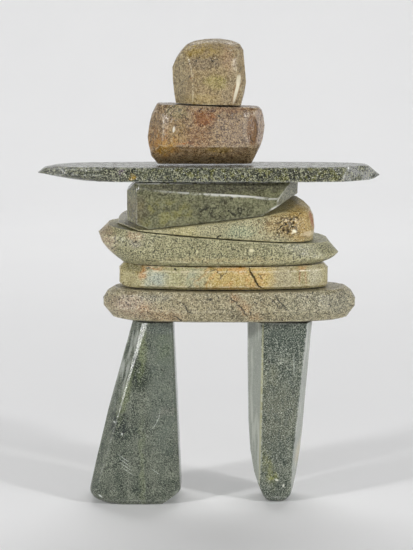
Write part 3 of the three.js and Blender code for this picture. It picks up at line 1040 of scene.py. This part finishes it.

# %% [markdown]
# ## The shoulders and the arms
#
# Two dark serpentines. The block under the arms is olive with a grey polished chamfer.
# The chamfer's lower arris carries a painted highlight in stretches: there the colour reads the
# arris attribute through a cloud, and one long thin fleck is laid on where the line is brightest.
# Painted glints are laid the same way on the top front arris and at the lower right corner.
#
# The long slab is nearly black in places, flecked with yellow-green, and paler where
# its right end was sawn.

# %% The dark rocks
def make_shoulder_rock():
    rock = Rock("dark_olive_rock", (104, 104, 82))
    rock.mottle((134, 134, 106), 0.7, 7, 0.44, 0.6)
    rock.mottle((66, 64, 54), 0.8, 4.5, 0.52, 0.66, detail=5)
    rock.stain((138, 134, 84), 0.7, -32, 210, 22, 9, through=rock.cloud(5, 0.42, 0.6))
    rock.stain((102, 90, 76), 0.5, -50, 212, 7, 9)
    rock.stain((44, 42, 38), 0.85, 8, 211, 20, 6, through=rock.cloud(3.4, 0.5, 0.6, detail=5))
    rock.stain((84, 82, 80), 0.6, 5, 227.5, 60, 3.2)
    rock.tint((128, 128, 118), rock.mark("sawn_and_sheen"), 0.6)
    rock.grains((58, 57, 46), (148, 147, 118), 1.3, 0.55)
    # Painted highlight: pale broken glints along the chamfer's lower arris.
    painted_chamfer_highlight = rock.times(rock.mark("arris"), rock.spot(12, 222, 42, 7, clean=True))
    rock.tint((216, 216, 208), rock.times(painted_chamfer_highlight, rock.cloud(6, 0.42, 0.54)), 0.9)
    # Painted highlight: the long thin fleck where the chamfer's line is brightest.
    rock.fleck((224, 224, 216), 0.85, 20.7, 222, 17, 0.6, lean=4, edge=0.5)
    # Painted highlight: a short white glint at the lower right corner.
    rock.fleck((212, 214, 204), 0.75, 46.6, 214, 4.2, 0.9, lean=-22)
    # Painted highlight: pale glints along the top front arris, under the arms.
    painted_top_arris_highlight = rock.times(rock.mark("arris"), rock.spot(-21, 230, 24, 2, clean=True))
    rock.tint((214, 216, 210), rock.times(painted_top_arris_highlight, rock.cloud(3, 0.42, 0.54)), 0.9)
    return rock.finish(dull=0.26, bright=0.12, bump=0.15, arris_wear_and_sheen=(170, 170, 160), arris_wear_and_sheen_strength=0.35)


def make_arm_rock():
    rock = Rock("dark_green_rock", (90, 93, 80))
    rock.mottle((124, 125, 112), 0.65, 8, stretch=(2, 1, 1))
    rock.mottle((46, 50, 42), 0.85, 6, 0.48, 0.64, stretch=(1.6, 1, 1))
    rock.stain((54, 58, 50), 0.6, -104, 235, 16, 12)
    rock.stain((70, 70, 60), 0.45, 52, 235, 42, 12)
    rock.stain((118, 118, 66), 0.7, 28, 233, 74, 14, through=rock.cloud(3.4, 0.5, 0.62))
    rock.stain((110, 96, 116), 0.75, -61.4, 238.4, 2.4, 2)
    rock.stain((190, 158, 70), 0.85, -53.4, 234, 2.0, 2.4)
    rock.tint((150, 151, 152), rock.times(rock.mark("sawn_and_sheen"), rock.cloud(5, 0.34, 0.56)), 0.85)
    rock.grains((30, 32, 28), (168, 168, 142), 1.0, 0.9)
    rock.specks((220, 222, 210), 1.3, 0.7)
    return rock.finish(dull=0.24, bright=0.1, bump=0.2, arris_wear_and_sheen=(214, 216, 208), arris_wear_and_sheen_strength=0.4)


# %% Shoulder slab
shoulder_slab = lift_stone("shoulder_slab")
rub(shoulder_slab, sharper_than=20, keep=1.0, reach=4.0)
ripple(shoulder_slab, swell=(16, 0.6), waver=(5, 0.15))
mark_side(shoulder_slab, "sawn_and_sheen", heading=60, spread=24)
set_down(shoulder_slab, "shoulder_slab", make_shoulder_rock())

# %% Arm slab
arm_slab = lift_stone("arm_slab")
rub(arm_slab, sharper_than=24, reach=4.0)
ripple(arm_slab, swell=(18, 0.4), waver=(5, 0.12))
mark_side(arm_slab, "sawn_and_sheen", heading=38, spread=22)
set_down(arm_slab, "arm_slab", make_arm_rock())

# %% [markdown]
# ## The neck and the head
#
# The neck is a red-brown cobble with an orange stain under the head, ochre at the lower
# left, and a greyish pink right half. A brown lens shape near its right end is outlined by
# fine cracks, and a small white glint on its left is painted on. Stains that are laid over
# the grains cover them, and look smoother than those laid under them. The head is tan with
# yellow-ochre patches, a few dark pits and one narrow flat ground low at its right, whose
# brightness is a painted highlight. It has no face.

# %% Their rocks
def make_neck_rock():
    rock = Rock("red_brown_rock", (126, 104, 74))
    rock.mottle((154, 134, 106), 0.65, 7)
    rock.mottle((84, 64, 42), 0.85, 4.5, 0.52, 0.64)
    rock.stain((140, 98, 64), 0.55, -8, 262, 9, 9)
    rock.stain((166, 116, 44), 0.9, -33, 258, 14, 9, through=rock.cloud(5, 0.42, 0.56))
    rock.stain((160, 136, 84), 0.5, -22, 266, 7, 6)
    rock.stain((146, 142, 104), 0.6, -22, 280, 7, 5)
    rock.stain((158, 140, 122), 0.65, 17, 267, 15, 12)
    rock.tint((184, 168, 158), rock.mark("sawn_and_sheen"), 0.85)
    rock.stain((160, 134, 64), 0.6, 6, 253, 9, 2)
    rock.stain((146, 88, 30), 0.95, -3.6, 275, 7, 5, edge=0.45)
    rock.stain((126, 80, 54), 0.5, 12, 281, 24, 2)
    rock.stain((186, 144, 50), 0.75, -29, 255.5, 7, 3.2, lean=-24, edge=0.8)
    rock.stain((190, 118, 60), 0.65, -16.5, 258.4, 5, 0.9, lean=6, edge=0.8)
    rock.fleck((130, 88, 38), 1.0, 30.6, 267, 4.6, 12.5, edge=0.15)
    rock.grains((76, 50, 30), (170, 146, 114), 2.4, 0.6)
    rock.grains((44, 28, 14), (198, 176, 142), 0.85, 0.72)
    rock.stain((112, 76, 18), 0.45, -4.4, 275.4, 5.4, 4, edge=0.45)
    rock.fleck((104, 76, 22), 0.5, 30.6, 267, 4.2, 11.5, edge=0.15)
    rock.stain((168, 122, 40), 0.55, -31, 257, 9, 5, through=rock.cloud(3, 0.47, 0.6))
    # Painted highlight: a small white glint on the left.
    rock.fleck((230, 226, 212), 0.85, -24.2, 267.6, 0.8, 2.0, lean=8)
    return rock.finish(dull=0.38, bright=0.18, bump=0.4, arris_wear_and_sheen=(204, 190, 168), arris_wear_and_sheen_strength=0.5)


def make_head_rock():
    rock = Rock("tan_head_rock", (143, 125, 92))
    rock.mottle((164, 144, 109), 0.7, 8)
    rock.mottle((120, 107, 78), 0.75, 5, 0.52, 0.66)
    rock.stain((176, 152, 84), 0.75, -8, 322, 14, 6, through=rock.cloud(5, 0.42, 0.56))
    rock.stain((162, 154, 84), 0.6, 5, 300, 7, 5)
    rock.stain((172, 150, 92), 0.5, -6, 288, 12, 4)
    rock.stain((184, 152, 122), 0.5, 13, 316, 5, 8)
    rock.stain((112, 100, 88), 0.6, -2, 313, 11, 4)
    rock.stain((128, 124, 102), 0.45, -21, 303, 6, 18)
    rock.grains((70, 56, 34), (194, 178, 144), 0.9, 0.72)
    rock.grains((100, 84, 56), (176, 160, 124), 2.0, 0.45)
    rock.stain((156, 118, 78), 0.5, -12.6, 304, 1.2, 3)
    rock.fleck((150, 110, 66), 0.5, 19.4, 294.6, 2.3, 13.4, lean=14, edge=0.2)
    # Painted highlight: the narrow flat low at the right is painted pale where it catches the
    # light.
    rock.fleck((226, 220, 196), 0.85, 19.4, 294.6, 1.4, 12.5, lean=14, edge=0.2)
    rock.fleck((222, 214, 188), 0.8, 20.6, 300.8, 2.0, 5.2, lean=8, edge=0.2)
    rock.fleck((74, 60, 40), 0.8, 24, 300.6, 1.2, 0.9)
    return rock.finish(dull=0.42, bright=0.26, bump=0.5, arris_wear_and_sheen=(212, 202, 172), arris_wear_and_sheen_strength=0.5)


# %% Neck stone
neck_stone = lift_stone("neck_stone")
rub(neck_stone, sharper_than=22)
ripple(neck_stone, swell=(13, 0.5), waver=(4, 0.14))
pock(neck_stone, size=1.6, depth=0.2, share=0.28)
grind_flat(neck_stone, heading=32, tilt=0, bite=1.2)
mark_side(neck_stone, "sawn_and_sheen", heading=62, spread=16)
neck_pits = [(7, 277, 0.8), (3, 281, 0.6), (-26, 277, 0.6), (16, 279, 0.5), (-14, 270, 0.6)]
sink_pits(neck_stone, neck_pits, depth=0.5)
neck_lines = [[(-24.4, 284.4), (-27.6, 281.4), (-30, 278.4)],
              [(-21.4, 283.2), (-24.8, 280), (-27, 277)],
              [(31.6, 276.6), (33.6, 271), (33.8, 264), (32, 258)],
              [(28, 265), (29.4, 260.6), (31.6, 257.6)]]
cut_lines(neck_stone, "crack", neck_lines, width=0.7, depth=0.3, wander=0.25)
set_down(neck_stone, "neck_stone", make_neck_rock())

# %% Head stone
head_stone = lift_stone("head_stone")
rub(head_stone, sharper_than=22)
ripple(head_stone, swell=(13, 0.5), waver=(4, 0.14))
pock(head_stone, size=1.6, depth=0.2, share=0.28)
grind_flat(head_stone, heading=22, tilt=-8, bite=0.4, at=(19, 295))
head_pits = [(2.4, 314.5, 1.2), (5.8, 315.6, 0.7), (4.6, 312.4, 0.5), (-13.4, 304, 1.0),
             (-8.6, 314.6, 0.8), (-6.4, 317, 0.6), (-10.4, 312.4, 0.5), (13, 321, 0.6),
             (16.6, 319, 0.5), (-3.6, 309.4, 0.5)]
sink_pits(head_stone, head_pits, depth=0.5)
set_down(head_stone, "head_stone", make_head_rock())

# %% [markdown]
# ## The sweep's paint
#
# The bowl is painted matt white. Its tone drifts by a percent or two over a hand's
# breadth, as rolled paint's does.

# %% The sweep's paint
def make_paint():
    paint = bpy.data.materials.new("matt_paint")
    paint.use_nodes = True
    tree = paint.node_tree
    shader = tree.nodes["Principled BSDF"]
    shader.inputs["Roughness"].default_value = 0.85
    drift = tree.nodes.new("ShaderNodeTexNoise")
    drift.inputs["Scale"].default_value = 6
    mix = tree.nodes.new("ShaderNodeMix")
    mix.data_type = "RGBA"
    mix.inputs[6].default_value = (0.78, 0.78, 0.785, 1)
    mix.inputs[7].default_value = (0.8, 0.8, 0.8, 1)
    where = tree.nodes.new("ShaderNodeTexCoord")
    tree.links.new(where.outputs["Object"], drift.inputs["Vector"])
    tree.links.new(drift.outputs["Fac"], mix.inputs[0])
    tree.links.new(mix.outputs[2], shader.inputs["Base Color"])
    return paint


sweep.data.materials.append(make_paint())

# %% [markdown]
# ## Measuring
#
# Rubbing and pressing in only ever take stone away, so the dressed figure must lie inside
# the box of the plain one.

# %% Measure and finish
new_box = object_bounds()
for corner, before, after in zip(("low", "high"), cad_box, new_box):
    moves = [round((b - a) / MM, 2) for a, b in zip(before, after)]
    print("The box's", corner, "corner moved, in mm:", moves)
